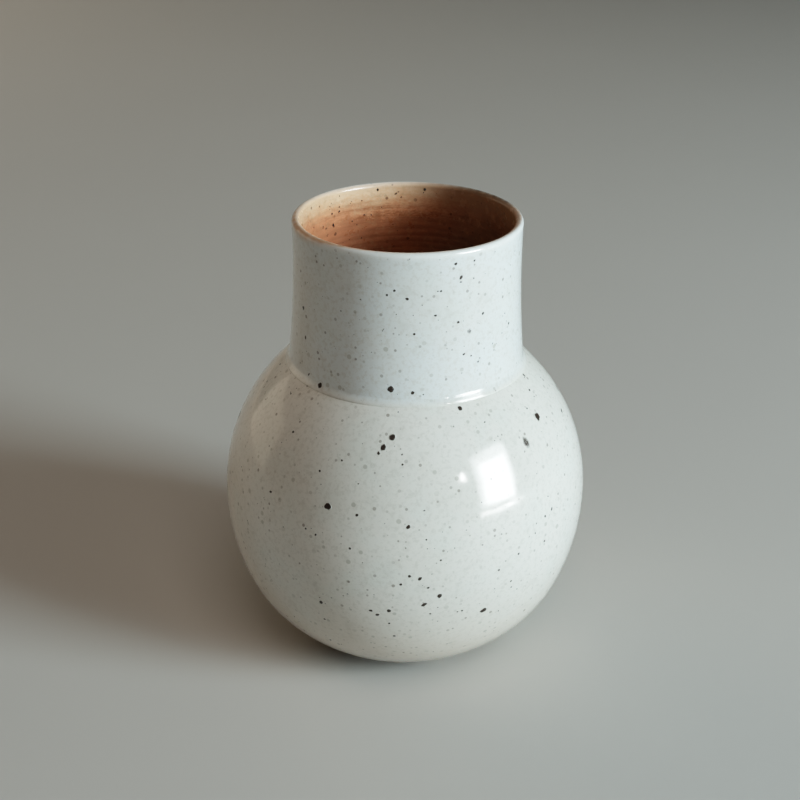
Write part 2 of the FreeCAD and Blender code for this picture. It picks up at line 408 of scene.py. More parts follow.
def make_neck_coat():
    high, flare, nose = neck_foot()
    outer_lip = LIP_C + towards(LIP_END) * LIP_R
    inner = seg((BORE_R, BAND_Z), (BORE_R, LIP_C[1]), 0.4 * MM)
    lip = arc(LIP_C, LIP_R, math.pi, LIP_END, 0.16 * MM)
    side = arc(BOW_C, BOW_R, full_turn(angle(BOW_C, outer_lip)),
               full_turn(angle(BOW_C, high)), 0.9 * MM)
    under = arc(GLOBE_C, BELLY_R - TUCK, angle(GLOBE_C, nose[-1]),
                angle(GLOBE_C, FIRST_TOP), 0.5 * MM)
    clay_top = globe_at(COAT, FIRST_COAT_R)
    rebate = globe_at(COAT, REBATE_R)
    clay_rim = arc(GLOBE_C, BELLY_R - COAT, angle(GLOBE_C, clay_top),
                   angle(GLOBE_C, rebate), 0.5 * MM)
    spigot_drop = math.sqrt((BOW_R + COAT) ** 2 - (BOW_C[0] - SPIGOT_R) ** 2)
    spigot = np.array([SPIGOT_R, WAIST_Z - spigot_drop])
    clay_lip = LIP_C + towards(LIP_END) * (LIP_R - COAT)
    back = arc(BOW_C, BOW_R + COAT, full_turn(angle(BOW_C, spigot)),
               full_turn(angle(BOW_C, clay_lip)), 4.0 * MM)
    lip_in = arc(LIP_C, LIP_R - COAT, LIP_END, math.pi, 0.4 * MM)
    inner_clay = seg((CLAY_BORE, LIP_C[1]), (CLAY_BORE, BAND_Z), 3.0 * MM)
    outline = join(inner, lip, side, flare, nose, under, np.array([FIRST_TOP, clay_top]),
                   clay_rim, np.array([rebate, spigot]), back, lip_in, inner_clay)
    # Ends of the inner wall, the lip, the outer side and the nose along the outline.
    i_in = len(inner)
    i_lip = i_in + len(lip) - 1
    i_side = i_lip + len(side) - 1
    i_nose = i_side + len(flare) + len(nose) - 2
    j = np.arange(len(outline))
    on_inner = (j < i_in)[None, :]
    on_outer = (np.clip((j - i_lip) / 6.0, 0, 1) * (j < i_nose))[None, :]

    def push(t, r, z):
        return np.where(on_inner, inside_relief(t, z), 0) + outside_relief(t, z) * on_outer

    def lip_u(r, z):
        """-1 at the lip's inner edge, 0 on its crest, 1 at its outer edge, and on from
        there down both walls."""
        u = np.clip((r - LIP_C[0]) / LIP_R, -1, 1)
        u = np.where(on_inner, -1 - (LIP_C[1] - z) / MM, u)
        return np.where((j >= i_lip)[None, :], 1 + (LIP_C[1] - z) / MM * 0.2, u)

    def toast_and_shade(t, r, z):
        """Where the lip is painted brown: partly the kiln's browning of the glaze edge, partly
        painted shade at the ends that turn from the window; a band that wanders across it.
        """
        u = lip_u(r, z)
        # The right, back right and left parts of the band sit where the lip turns from the window:
        # painted shade.
        right = np.clip(np.cos(t - 1.60), 0, 1) ** 3
        back_right = np.clip(np.cos(t - 2.2), 0, 1) ** 3
        left = np.clip(-np.sin(t), 0, 1) ** 3
        front = np.clip(np.cos(t), 0, 1)
        left_front = np.clip(np.cos(t + 1.05), 0, 1) ** 3
        centre = (-0.62 + 0.42 * right + 0.30 * back_right + 0.80 * left_front
                  + 0.25 * left)
        reach = (0.28 + 0.50 * right + 0.50 * back_right + 0.62 * left_front
                 + 0.30 * left + 0.08 * front)
        band = np.clip(1.25 * (1 - np.abs(u - centre) / reach), 0, 1)
        band = band * band * (3 - 2 * band)
        ends = 0.02 + 0.95 * np.maximum(right, back_right) + 0.85 * left_front + 0.30 * left
        ends = ends + 0.45 * front * (1 - right)
        ragged = (0.85 + 0.15 * np.sin(7 * t + 1) * np.sin(23 * t + 2 * u)
                  + 0.12 * np.sin(61 * t))
        return np.clip(band * ends * ragged, 0, 1)

    def inside_flag(t, r, z):
        """1 where the mouth's colour covers the glaze; it stops short on the far rim, so the pale
        outside glaze paints a highlight along the back of the lip.
        """
        # The added term at the back moves the edge inwards there: a painted highlight on the far
        # lip.
        u = lip_u(r, z) + 0.5 * np.clip(-np.cos(t - 0.35), 0, 1) ** 2
        return np.clip(0.5 - u * 0.8, 0, 1) * (j < i_side)[None, :]

    def relief(t, r, z):
        return np.where(on_inner, inside_relief(t, z) / RING_DEPTH, 0)

    extra = {"toast_and_shade": toast_and_shade, "inside": inside_flag, "relief": relief}
    coat = lathe("neck_coat", outline, ROUND_GLAZE, push, extra)
    return coat, outline[i_lip - 1:i_nose]


def make_liner():
    def run(inset, wall_step, fillet, corner_step, bore_r, bore_step):
        turn = full_turn(angle(MOUTH_C, GLOBE_C))
        return join(
            inner_skin(inset, wall_step),
            arc(MOUTH_C, fillet, turn, math.pi, corner_step),
            seg((bore_r, MOUTH_C[1]), (bore_r, BAND_Z), bore_step),
        )

    visible = run(INNER + COAT, 1.0 * MM, MOUTH_FILLET + COAT, 0.5 * MM, BORE_R, 0.42 * MM)
    hidden = run(INNER, 6.0 * MM, MOUTH_FILLET, 1.0 * MM, CLAY_BORE, 4.0 * MM)
    outline = join(visible, hidden[::-1])
    on_skin = (np.arange(len(outline)) < len(visible))[None, :]

    def push(t, r, z):
        """Across the floor the ridges follow the radius, because the height is level."""
        ease = np.clip(r / (6 * MM), 0, 1)
        height = np.where(r < 30 * MM, z + r * 0.6, z)
        return np.where(on_skin, inside_relief(t, height) * ease, 0)

    def relief(t, r, z):
        return push(t, r, z) / RING_DEPTH

    return lathe("liner_coat", outline, ROUND_LINER, push, {"relief": relief})


def make_belly_clay():
    inside = inner_skin(INNER, 6.0 * MM)
    seat_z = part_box("joint_slip")[0].z
    seat_in = np.array([
        MOUTH_C[0] - math.sqrt(MOUTH_FILLET ** 2 - (seat_z - MOUTH_C[1]) ** 2), seat_z])
    corner = arc(MOUTH_C, MOUTH_FILLET, full_turn(angle(MOUTH_C, GLOBE_C)),
                 full_turn(angle(MOUTH_C, seat_in)), 0.5 * MM)
    rebate = globe_at(COAT, REBATE_R)
    low = under_at(COAT, BASE_Z + BASE_EDGE)
    outside = outer_skin(COAT, rebate, low, 4.0 * MM)
    edge = np.array([low[0] - BASE_EDGE, BASE_Z])
    groove_z = BASE_Z + FOOT_SEAT
    base = join(
        np.array([low, (low + edge) / 2 + np.array([0.12, -0.12]) * MM, edge]),
        seg(edge, (FOOT_R, BASE_Z), 0.5 * MM),
        np.array([(FOOT_R, BASE_Z), (FOOT_R, groove_z), (FOOT_IN_R, groove_z),
                  (FOOT_IN_R, BASE_Z)]),
        seg((FOOT_IN_R, BASE_Z), (0, BASE_Z), 0.35 * MM),
    )
    outline = join(inside, corner, np.array([seat_in, (REBATE_R, seat_z), rebate]),
                   outside, base)
    on_base = (np.arange(len(outline)) > len(outline) - len(base) + 4)[None, :]

    def push(t, r, z):
        """Turning marks cut by the trimming tool on the underside."""
        on = on_base & (np.abs(z - BASE_Z) < 1e-6) & (r > 0.5 * MM)
        on = on & (np.abs(r - FOOT_R) > 0.3 * MM) & (np.abs(r - FOOT_IN_R) > 0.3 * MM)
        cut = np.abs(((r / (1.45 * MM) + t / (2 * math.pi)) % 1.0) - 0.5) * 2
        return np.where(on, -0.10 * MM * cut ** 2, 0)

    return lathe("belly_clay", outline, ROUND_CLAY, push)


def make_foot():
    top = BASE_Z + FOOT_SEAT
    toe = np.array([FOOT_R - FOOT_TAPER - FOOT_EDGE, 0])
    in_toe = np.array([FOOT_IN_R + FOOT_EDGE, 0])
    outline = join(
        np.array([(FOOT_R, top), (FOOT_R, BASE_Z)]),
        seg((FOOT_R, BASE_Z), (FOOT_R - FOOT_TAPER, FOOT_EDGE), 0.3 * MM),
        arc((toe[0], FOOT_EDGE), FOOT_EDGE, 0, -math.pi / 2, 0.12 * MM),
        seg(toe, in_toe, 0.35 * MM),
        arc((in_toe[0], FOOT_EDGE), FOOT_EDGE, -math.pi / 2, -math.pi, 0.12 * MM),
        seg((FOOT_IN_R, FOOT_EDGE), (FOOT_IN_R, top), 0.4 * MM),
        seg((FOOT_IN_R, top), (FOOT_R, top), 1.0 * MM),
    )

    def push(t, r, z):
        cut = np.sin(z / (0.75 * MM) * 2 * math.pi + t)
        side = (z > FOOT_EDGE) & (z < BASE_Z - 0.3 * MM) & (r > FOOT_IN_R + 0.5 * MM)
        return np.where(side, 0.05 * MM * cut, 0)

    return lathe("foot_clay", outline, ROUND_CLAY, push)


belly_coat, belly_skin = make_belly_coat()
neck_coat, neck_skin = make_neck_coat()
liner_coat = make_liner()
belly_clay = make_belly_clay()
foot_clay = make_foot()


# ------------------------------------------------------------------ iron specks
SPECK_RINGS = [0.0, 0.45, 0.72, 1.0, 1.35]      # in half sizes; the last is the soft edge
SPECK_RISE = 0.022 * MM
SPECK_LIFT = 0.004 * MM
SPECK_DEPTH = 0.03 * MM
SPECK_SHARE = 0.84       # the dark heart of a speck is smaller than its soft edge


class Skin:
    """A visible surface as a run of (r, z) points, to set specks on."""

    def __init__(self, points, relief):
        self.p = points
        self.n = normals(points, False)
        self.s = run_length(points)
        self.relief = relief

    def at(self, theta, s, lift):
        r = np.interp(s, self.s, self.p[:, 0])
        z = np.interp(s, self.s, self.p[:, 1])
        nr = np.interp(s, self.s, self.n[:, 0])
        nz = np.interp(s, self.s, self.n[:, 1])
        d = self.relief(theta, z) + lift
        return np.stack(warp(theta, r + d * nr, z + d * nz), -1)

    def s_at_height(self, z):
        order = np.argsort(self.p[:, 1])
        return float(np.interp(z, self.p[order, 1], self.s[order]))

    def r_at(self, s):
        return float(np.interp(s, self.s, self.p[:, 0]))


def add_speck(skin, store, theta0, s0, size, stretch, lean, dark, seed):
    """One thin lens of iron in the glaze: irregular edge, soft rim, tiny height."""
    local = random.Random(seed)
    spokes = 14 if size < 0.9 * MM else 20
    bumps = [(k, local.uniform(0, 6.28), local.uniform(0.03, 0.16) / k ** 0.6)
             for k in (2, 3, 4, 5, 7)]
    r0 = max(skin.r_at(s0), 1 * MM)

    def add(ring, spoke, lift, iron):
        a = 2 * math.pi * spoke / spokes
        edge = ring * size / 2 * (1 + sum(b * math.sin(k * a + p) for k, p, b in bumps))
        u = edge * math.cos(a) * stretch
        v = edge * math.sin(a) / math.sqrt(stretch)
        x = u * math.cos(lean) - v * math.sin(lean)
        y = u * math.sin(lean) + v * math.cos(lean)
        store["v"].append(skin.at(theta0 + x / r0, s0 + y, lift).tolist())
        store["c"].append(iron)

    top = len(store["v"])
    last = SPECK_RINGS[-1]
    for ring in SPECK_RINGS:
        lift = SPECK_RISE * (1 - (ring / last) ** 2) + SPECK_LIFT
        if ring == last:
            lift = -SPECK_LIFT
        iron = max(0.0, min(1.0, (1.42 - ring) / 0.62)) * dark
        for spoke in range(spokes if ring else 1):
            add(ring, spoke, lift, iron)
    under = len(store["v"])
    for spoke in range(spokes):
        add(1.0, spoke, -SPECK_DEPTH, dark)
    bottom = len(store["v"])
    add(0.0, 0, -SPECK_DEPTH, dark)
    first = top + 1
    rim = first + (len(SPECK_RINGS) - 2) * spokes
    for j in range(spokes):
        k = (j + 1) % spokes
        store["f"].append((top, first + j, first + k))
        for a in range(first, rim, spokes):
            b = a + spokes
            store["f"].append((a + j, b + j, b + k, a + k))
        store["f"].append((rim + j, under + j, under + k, rim + k))
        store["f"].append((under + j, bottom, under + k))


BELLY = Skin(belly_skin, outside_relief)
NECK = Skin(neck_skin, outside_relief)
MOUTH_WALL = Skin(seg((BORE_R, 0.104), (BORE_R, LIP_C[1]), 0.4 * MM), inside_relief)

# Specks listed one by one: (degrees round from the front, height in mm, size in mm, darkness,
# stretch, tilt in degrees)
BELLY_SPECKS = [
    (24, 98.5, 1.5, 0.9, 1.0, 20), (59, 90, 2.4, 0.85, 1.15, 70), (47, 86, 2.7, 0.60, 1.3, 90),
    (-5, 93, 2.0, 0.8, 1.0, 0), (-8, 90.5, 1.8, 0.85, 1.0, 40), (-9.5, 89, 1.0, 0.8, 1.0, 60),
    (-24, 73, 2.1, 1.0, 1.05, 0), (25.5, 36, 1.8, 1.0, 1.35, 35), (10.5, 45.5, 1.5, 1.0, 1.0, 20),
    (6, 42.5, 1.4, 0.95, 1.35, 40), (-26, 39, 1.3, 0.9, 1.0, 0), (-4.5, 40, 1.3, 0.95, 1.0, 10),
    (-8, 38, 1.1, 0.9, 1.2, 20), (-10, 39.5, 1.0, 0.95, 1.3, 5),
    (65, 96, 0.9, 0.8, 1.0, 0), (70, 99, 1.0, 0.8, 1.3, 90), (-45, 89, 0.9, 0.75, 1.0, 0),
    (-14.5, 72, 0.9, 0.85, 1.0, 0), (1, 69.5, 1.2, 1.0, 1.1, 30), (-29, 82, 0.8, 0.7, 1.0, 0),
    (-22, 86, 0.7, 0.7, 1.0, 0), (-1, 86.5, 0.7, 0.75, 1.0, 0), (-46, 71, 0.9, 0.8, 1.2, 20),
    (-30.5, 64.5, 0.7, 0.8, 1.0, 0), (-27, 63.5, 0.7, 0.8, 1.3, 60), (-16, 61.5, 0.9, 0.7, 1.0, 0),
    (51, 64, 0.9, 0.85, 1.3, 70), (47.5, 63, 0.8, 0.85, 1.0, 0), (47, 54.5, 0.8, 0.85, 1.0, 0),
    (36, 54.5, 0.8, 0.85, 1.0, 0), (29, 51, 0.9, 0.6, 1.0, 0), (34, 45, 0.7, 0.8, 1.0, 0),
    (10.5, 58.5, 0.7, 0.7, 1.0, 0), (1.5, 53.5, 1.0, 0.9, 1.0, 0), (4.5, 52.5, 1.1, 0.9, 1.4, 50),
    (7, 49, 0.8, 0.75, 1.3, 20), (-1, 50.5, 0.9, 0.8, 1.0, 0), (8, 38.5, 0.8, 0.6, 1.0, 0),
    (18, 38, 0.7, 0.8, 1.0, 0), (-4.5, 34.5, 0.8, 0.7, 1.0, 0), (-3, 28.5, 0.9, 0.8, 1.0, 0),
    (-26, 31.5, 0.8, 0.8, 1.0, 0), (-27, 20, 0.9, 0.85, 1.4, 60),
]
NECK_SPECKS = [
    (-7, 105, 1.9, 1.0, 1.15, 80), (-44, 101.5, 1.7, 0.9, 1.0, 0), (3, 104, 1.1, 0.95, 1.0, 0),
    (26, 139, 1.1, 0.8, 1.3, 50), (23, 143.5, 0.9, 0.85, 1.0, 0), (33, 143.5, 0.7, 0.7, 1.0, 0),
    (16, 135.5, 0.7, 0.8, 1.0, 0), (13.5, 128, 0.7, 0.85, 1.4, 0), (39, 126, 0.9, 0.85, 1.0, 0),
    (25, 125, 0.9, 0.8, 1.0, 0), (31, 121.5, 1.4, 0.5, 1.1, 60), (59, 119, 0.8, 0.8, 1.0, 0),
    (3.5, 122.5, 0.8, 0.8, 1.0, 0), (0, 133.5, 0.9, 1.0, 1.2, 0), (-6, 136, 0.8, 0.85, 1.1, 10),
    (-9.5, 134.5, 0.8, 0.75, 1.0, 0), (28, 114.5, 0.8, 0.8, 1.2, 20),
    (32, 113.5, 0.6, 0.75, 1.0, 0),
    (36, 111, 0.7, 0.65, 1.0, 0), (37, 112, 0.5, 0.6, 1.0, 0), (-61, 123, 1.1, 0.7, 1.3, 80),
    (-58, 114, 1.0, 0.85, 1.3, 80), (-53, 103, 0.8, 0.8, 1.5, 60),
]
MOUTH_SPECKS = [
    (-163, 145.3, 0.9, 0.95, 1.0, 0), (170, 145.2, 1.0, 1.0, 1.0, 0),
    (-173.6, 143.6, 0.8, 0.6, 1.6, 30), (-175, 144.2, 0.6, 0.5, 1.2, 0),
    (-138.3, 141.5, 0.6, 0.7, 1.0, 0), (-138.2, 140.0, 0.8, 0.75, 1.3, 30),
    (-132.7, 139.9, 0.8, 0.95, 1.0, 0), (-133.6, 136.0, 1.0, 0.75, 1.0, 0),
    (-125.2, 136.5, 0.8, 0.5, 1.4, 60), (-127.8, 135.6, 0.8, 0.5, 1.3, 20),
    (-153.4, 142.2, 0.6, 0.6, 1.0, 0), (-147.2, 135.6, 0.6, 0.7, 1.0, 0),
    (-154.9, 137.1, 0.6, 0.75, 1.2, 0), (-159.2, 136.8, 0.6, 0.7, 1.0, 0),
    (170.7, 144.1, 0.5, 0.6, 1.0, 0),
]

# Specks at random: (how many, smallest and largest size in mm, lowest and highest height
# in mm, degrees from the front that stay free, darknesses, seed)
BELLY_SCATTER = [
    (26, 0.9, 2.2, 22, 98, 74, [0.8, 0.9, 1.0, 0.6], 5),
    (60, 0.6, 1.0, 12, 98, 74, [0.8, 0.9, 0.7, 0.6], 6),
    (330, 0.20, 0.52, 8, 99, 0, [0.85, 0.7, 0.55, 0.45], 7),
]
NECK_SCATTER = [
    (10, 0.8, 2.0, 103, 144, 74, [0.85, 1.0, 0.6], 8),
    (26, 0.5, 0.9, 103, 145, 74, [0.8, 0.7, 0.6], 9),
    (120, 0.20, 0.48, 102, 146, 0, [0.85, 0.7, 0.5, 0.45], 10),
]
MOUTH_SCATTER = [(90, 0.25, 0.62, 128, 145.5, 0, [0.8, 0.7, 0.6, 0.5], 11)]


def placed(skin, store, rows):
    for i, (deg, height, size, dark, stretch, tilt) in enumerate(rows):
        add_speck(skin, store, math.radians(deg), skin.s_at_height(height * MM),
                  size * SPECK_SHARE * MM, stretch, math.radians(-tilt), dark, 1000 + i)


def scattered(skin, store, count, low, high, z_low, z_high, away, darks, seed):
    """Specks at random, even by area, except near the front where away says so."""
    local = random.Random(seed)
    s_low, s_high = sorted((skin.s_at_height(z_low * MM), skin.s_at_height(z_high * MM)))
    made = 0
    while made < count:
        s = local.uniform(s_low, s_high)
        deg = local.uniform(-180, 180)
        if local.random() > skin.r_at(s) / BELLY_R:
            continue
        if abs(deg) < away:
            continue
        size = low + (high - low) * local.random() ** 2.2
        add_speck(skin, store, math.radians(deg), s, size * MM,
                  1 + 0.5 * local.random() ** 2, local.uniform(0, math.pi),
                  local.choice(darks), local.randrange(1 << 30))
        made += 1


def speck_piece(name, skin, rows, scatter):
    store = {"v": [], "c": [], "f": []}
    placed(skin, store, rows)
    for row in scatter:
        scattered(skin, store, *row)
    return add_object(name, store["v"], store["f"], {"iron": store["c"]})


belly_specks = speck_piece("belly_specks", BELLY, BELLY_SPECKS, BELLY_SCATTER)
neck_specks = speck_piece("neck_specks", NECK, NECK_SPECKS, NECK_SCATTER)
mouth_specks = speck_piece("mouth_specks", MOUTH_WALL, MOUTH_SPECKS, MOUTH_SCATTER)


# ------------------------------------------------------------------ node materials
class Tree:
    """Small helper that builds a material's nodes from left to right."""

    def __init__(self, name):
        self.material = bpy.data.materials.new(name)
        self.material.use_nodes = True
        self.nodes = self.material.node_tree.nodes
        self.links = self.material.node_tree.links
        self.nodes.clear()
        self.out = self.nodes.new("ShaderNodeOutputMaterial")
        self.shader = self.nodes.new("ShaderNodeBsdfPrincipled")
        self.links.new(self.shader.outputs[0], self.out.inputs[0])
        coords = self.nodes.new("ShaderNodeTexCoord")
        self.object = coords.outputs["Object"]

    def feed(self, socket, value):
        """Links a socket, or sets a number or an (r, g, b) colour."""
        if isinstance(value, bpy.types.NodeSocket):
            self.links.new(value, socket)
        elif isinstance(value, tuple):
            socket.default_value = (*value, 1)
        else:
            socket.default_value = value

    def math(self, op, a, b):
        n = self.nodes.new("ShaderNodeMath")
        n.operation = op
        self.feed(n.inputs[0], a)
        self.feed(n.inputs[1], b)
        return n.outputs[0]

    def times(self, a, b):
        return self.math("MULTIPLY", a, b)

    def mix(self, factor, a, b):
        n = self.nodes.new("ShaderNodeMix")
        n.data_type = "RGBA"
        n.clamp_factor = True
        self.feed(n.inputs[0], factor)
        self.feed(n.inputs[6], a)
        self.feed(n.inputs[7], b)
        return n.outputs[2]

    def scaled(self, x, y, z):
        n = self.nodes.new("ShaderNodeMapping")
        n.inputs["Scale"].default_value = (x, y, z)
        self.feed(n.inputs["Vector"], self.object)
        return n.outputs[0]

    def noise(self, scale, detail=2.0, rough=0.5, source=None, distortion=0.0):
        n = self.nodes.new("ShaderNodeTexNoise")
        n.inputs["Scale"].default_value = scale
        n.inputs["Detail"].default_value = detail
        n.inputs["Roughness"].default_value = rough
        n.inputs["Distortion"].default_value = distortion
        self.feed(n.inputs["Vector"], source or self.object)
        return n.outputs["Fac"]

    def jitter(self, noise, size):
        """The noise as a shift of up to half of size either way."""
        return self.times(self.math("SUBTRACT", noise, 0.5), size)

    def cells(self, scale):
        n = self.nodes.new("ShaderNodeTexVoronoi")
        n.inputs["Scale"].default_value = scale
        self.feed(n.inputs["Vector"], self.object)
        return n.outputs["Distance"], n.outputs["Color"]

    def spread(self, value, low, high, to_low=0.0, to_high=1.0, smooth=True):
        """Maps low..high to to_low..to_high, held level beyond both ends."""
        n = self.nodes.new("ShaderNodeMapRange")
        n.interpolation_type = "SMOOTHSTEP" if smooth else "LINEAR"
        n.clamp = True
        self.feed(n.inputs["Value"], value)
        n.inputs["From Min"].default_value = low
        n.inputs["From Max"].default_value = high
        n.inputs["To Min"].default_value = to_low
        n.inputs["To Max"].default_value = to_high
        return n.outputs[0]

    def attribute(self, name):
        n = self.nodes.new("ShaderNodeAttribute")
        n.attribute_name = name
        return n.outputs["Fac"]

    def axis(self, name):
        n = self.nodes.new("ShaderNodeSeparateXYZ")
        self.links.new(self.object, n.inputs[0])
        return n.outputs[name]

    def ramp(self, value, stops):
        n = self.nodes.new("ShaderNodeValToRGB")
        while len(n.color_ramp.elements) < len(stops):
            n.color_ramp.elements.new(0.5)
        for e, (p, c) in zip(n.color_ramp.elements, stops):
            e.position = p
            e.color = (*c, 1)
        self.links.new(value, n.inputs[0])
        return n.outputs[0]

    def bump(self, height, distance, strength, after=None):
        n = self.nodes.new("ShaderNodeBump")
        n.inputs["Distance"].default_value = distance
        n.inputs["Strength"].default_value = strength
        self.links.new(height, n.inputs["Height"])
        if after is not None:
            self.links.new(after, n.inputs["Normal"])
        return n.outputs[0]

    def finish(self, colour, roughness, normal=None, ior=None):
        self.feed(self.shader.inputs["Base Color"], colour)
        self.feed(self.shader.inputs["Roughness"], roughness)
        if normal is not None:
            self.links.new(normal, self.shader.inputs["Normal"])
        if ior is not None:
            self.shader.inputs["IOR"].default_value = ior
        return self.material


def dots(t, scale, share, size_low, size_high):
    """Round specks with soft edges in a share of the cells, and a random value for
    each cell."""
    distance, colour = t.cells(scale)
    split = t.nodes.new("ShaderNodeSeparateColor")
    t.links.new(colour, split.inputs[0])
    chosen = t.math("LESS_THAN", split.outputs[0], share)
    radius = t.spread(split.outputs[1], 0, 1, size_low, size_high, smooth=False)
    closeness = t.math("SUBTRACT", radius, distance)
    soft = t.spread(closeness, 0.0, size_low * 0.6)
    return t.times(soft, chosen), split.outputs[2]


# Outside glaze, all linear colours.
CREAM = (0.80, 0.765, 0.705)
COOL = (0.765, 0.79, 0.785)
CLOUD = (0.745, 0.705, 0.635)
GREENISH = (0.72, 0.755, 0.70)
OAT = (0.60, 0.565, 0.50)
GRAIN = (0.66, 0.63, 0.57)
SMOKE = (0.52, 0.49, 0.43)
LOW_BROWN = (0.66, 0.545, 0.445)
FAINT_DOT = (0.42, 0.395, 0.335)
PIN_DOT = (0.20, 0.155, 0.12)
SECOND_COAT_FROM, SECOND_COAT_FULL = 0.0995, 0.1020
LOW_BROWN_FROM, LOW_BROWN_TO = 0.006, 0.052

# Inside the mouth.
MOUTH_FADE = 0.050       # depth below the rim at which the liner's colour has settled
MOUTH_STOPS = [
    (0.04, (0.97, 0.63, 0.41)), (0.10, (0.92, 0.53, 0.32)), (0.145, (0.86, 0.43, 0.245)),
    (0.185, (0.75, 0.33, 0.180)), (0.225, (0.53, 0.21, 0.105)), (0.30, (0.43, 0.165, 0.085)),
    (0.50, (0.24, 0.090, 0.045)), (1.0, (0.13, 0.046, 0.023)),
]
STREAK_DARK = (0.23, 0.080, 0.036)
STREAK_BRIGHT = (0.60, 0.27, 0.14)
LEFT_ORANGE_PAINTED_LIGHT = (0.95, 0.375, 0.205)
PAINTED_SHADE_RIGHT = (0.148, 0.105, 0.074)
MOTTLE = (0.50, 0.30, 0.17)
VALLEY = (0.15, 0.05, 0.022)
MOUTH_PIN = (0.10, 0.045, 0.025)

# Lip: a painted highlight along its top, and the toast on it by place, partly painted shade.
RIM_PAINTED_HIGHLIGHT = (0.90, 0.89, 0.855)
BURNT = (0.56, 0.27, 0.135)
BURNT_DARK = (0.33, 0.150, 0.080)
TOAST_SHADE_RIGHT = (0.50, 0.36, 0.28)
PAINTED_SHADE_BACK = (0.12, 0.078, 0.050)
TOAST_SHADE_LEFT = (0.70, 0.49, 0.345)

GLAZE_IOR = 1.5
CLAY_IOR = 1.45
IRON = (0.022, 0.017, 0.016)
IRON_RUST = (0.080, 0.053, 0.040)
GROG = (0.72, 0.60, 0.46)
CLAY_PIN = (0.09, 0.055, 0.035)

# Depth of the fine surface relief: orange peel, glaze grain, iron, and in the bare clay
# grog and the drag of the turning tool.
PEEL = 0.03 * MM
GLAZE_GRAIN = 0.006 * MM
IRON_GRAIN = 0.01 * MM
GROG_DEPTH = 0.08 * MM
DRAG_DEPTH = 0.05 * MM


def glaze_colour(t):
    """Cream stoneware glaze; cooler and whiter where the second dip covers the collar,
    darker and browner towards the bottom."""
    body = t.mix(t.spread(t.axis("Z"), SECOND_COAT_FROM, SECOND_COAT_FULL), CREAM, COOL)
    body = t.mix(t.spread(t.noise(26, 3, 0.55), 0.35, 0.7, 0, 0.5), body, CLOUD)
    body = t.mix(t.spread(t.noise(70, 2, 0.5), 0.45, 0.75, 0, 0.30), body, GREENISH)
    body = t.mix(t.spread(t.noise(760, 3, 0.65), 0.46, 0.70, 0, 0.48), body, OAT)
    body = t.mix(t.spread(t.noise(1500, 2, 0.6), 0.5, 0.75, 0, 0.25), body, GRAIN)
    smoke = t.noise(210, 2, 0.5, distortion=0.6)
    body = t.mix(t.spread(smoke, 0.58, 0.74, 0, 0.20), body, SMOKE)
    # Darker and browner towards the bottom, all round.
    body = t.mix(t.spread(t.axis("Z"), LOW_BROWN_FROM, LOW_BROWN_TO, 0.60, 0), body, LOW_BROWN)
    faint, tone = dots(t, 280, 0.70, 0.11, 0.26)
    body = t.mix(t.times(faint, t.spread(tone, 0, 1, 0.16, 0.60)), body, FAINT_DOT)
    pin, tone = dots(t, 520, 0.34, 0.12, 0.34)
    return t.mix(t.times(pin, t.spread(tone, 0, 1, 0.12, 0.62)), body, PIN_DOT)


def mouth_colour(t, relief=None):
    """Pale band under the lip that breaks down into the orange-brown liner glaze, with painted
    light on the left inner wall and painted shade on the right.
    """
    depth = t.math("SUBTRACT", RIM_Z, t.axis("Z"))
    slow = t.noise(48, 2, 0.5)
    runs = t.noise(230, 3, 0.6, t.scaled(1, 1, 1.6))
    flecks = t.noise(900, 2, 0.6, t.scaled(1, 1, 2.2))
    ragged = t.math("ADD", t.jitter(slow, 0.0050), t.jitter(runs, 0.0095))
    ragged = t.math("ADD", ragged, t.jitter(flecks, 0.0070))
    fade = t.spread(t.math("ADD", depth, ragged), 0.0, MOUTH_FADE, smooth=False)
    colour = t.ramp(fade, MOUTH_STOPS)
    streak = t.noise(80, 4, 0.65, t.scaled(0.5, 0.5, 5.0))
    dark = t.times(t.spread(streak, 0.45, 0.72), t.spread(depth, 0.004, 0.012, 0.15, 0.60))
    colour = t.mix(dark, colour, STREAK_DARK)
    bright = t.times(t.spread(streak, 0.28, 0.44, 1, 0),
                     t.spread(depth, 0.006, 0.014, 0.0, 0.45))
    colour = t.mix(bright, colour, STREAK_BRIGHT)
    # Partly the glaze's orange, partly painted light: the left inner wall, which the window
    # lights, is made a brighter, redder orange.
    warm = t.times(t.spread(t.axis("X"), -0.030, -0.010, 1, 0),
                   t.spread(depth, 0.004, 0.010, 0.0, 0.60))
    colour = t.mix(warm, colour, LEFT_ORANGE_PAINTED_LIGHT)
    # Painted shade: the right inner wall, which turns away from the window, goes dark olive brown
    # from just under the lip down.
    shade = t.times(t.spread(t.axis("X"), -0.012, 0.026),
                    t.spread(depth, 0.0, 0.0006, 0.60, 0.80))
    colour = t.mix(shade, colour, PAINTED_SHADE_RIGHT)
    colour = t.mix(t.spread(t.noise(480, 3, 0.6), 0.5, 0.74, 0, 0.35), colour, MOTTLE)
    if relief is not None:
        colour = t.mix(t.spread(relief, -1.0, 0.4, 0.30, 0), colour, VALLEY)
    pin, tone = dots(t, 420, 0.30, 0.12, 0.30)
    return t.mix(t.times(pin, t.spread(tone, 0, 1, 0.2, 0.8)), colour, MOUTH_PIN)


def glaze_bump(t):
    peel = t.bump(t.noise(330, 2, 0.5), PEEL, 0.5)
    return t.bump(t.noise(2400, 2, 0.6), GLAZE_GRAIN, 0.5, peel)


def outside_gloss(t):
    return t.spread(t.noise(240, 3, 0.6), 0.3, 0.7, 0.07, 0.13)


def make_outer_glaze():
    t = Tree("cream_glaze_speckled")
    return t.finish(glaze_colour(t), outside_gloss(t), glaze_bump(t), ior=GLAZE_IOR)


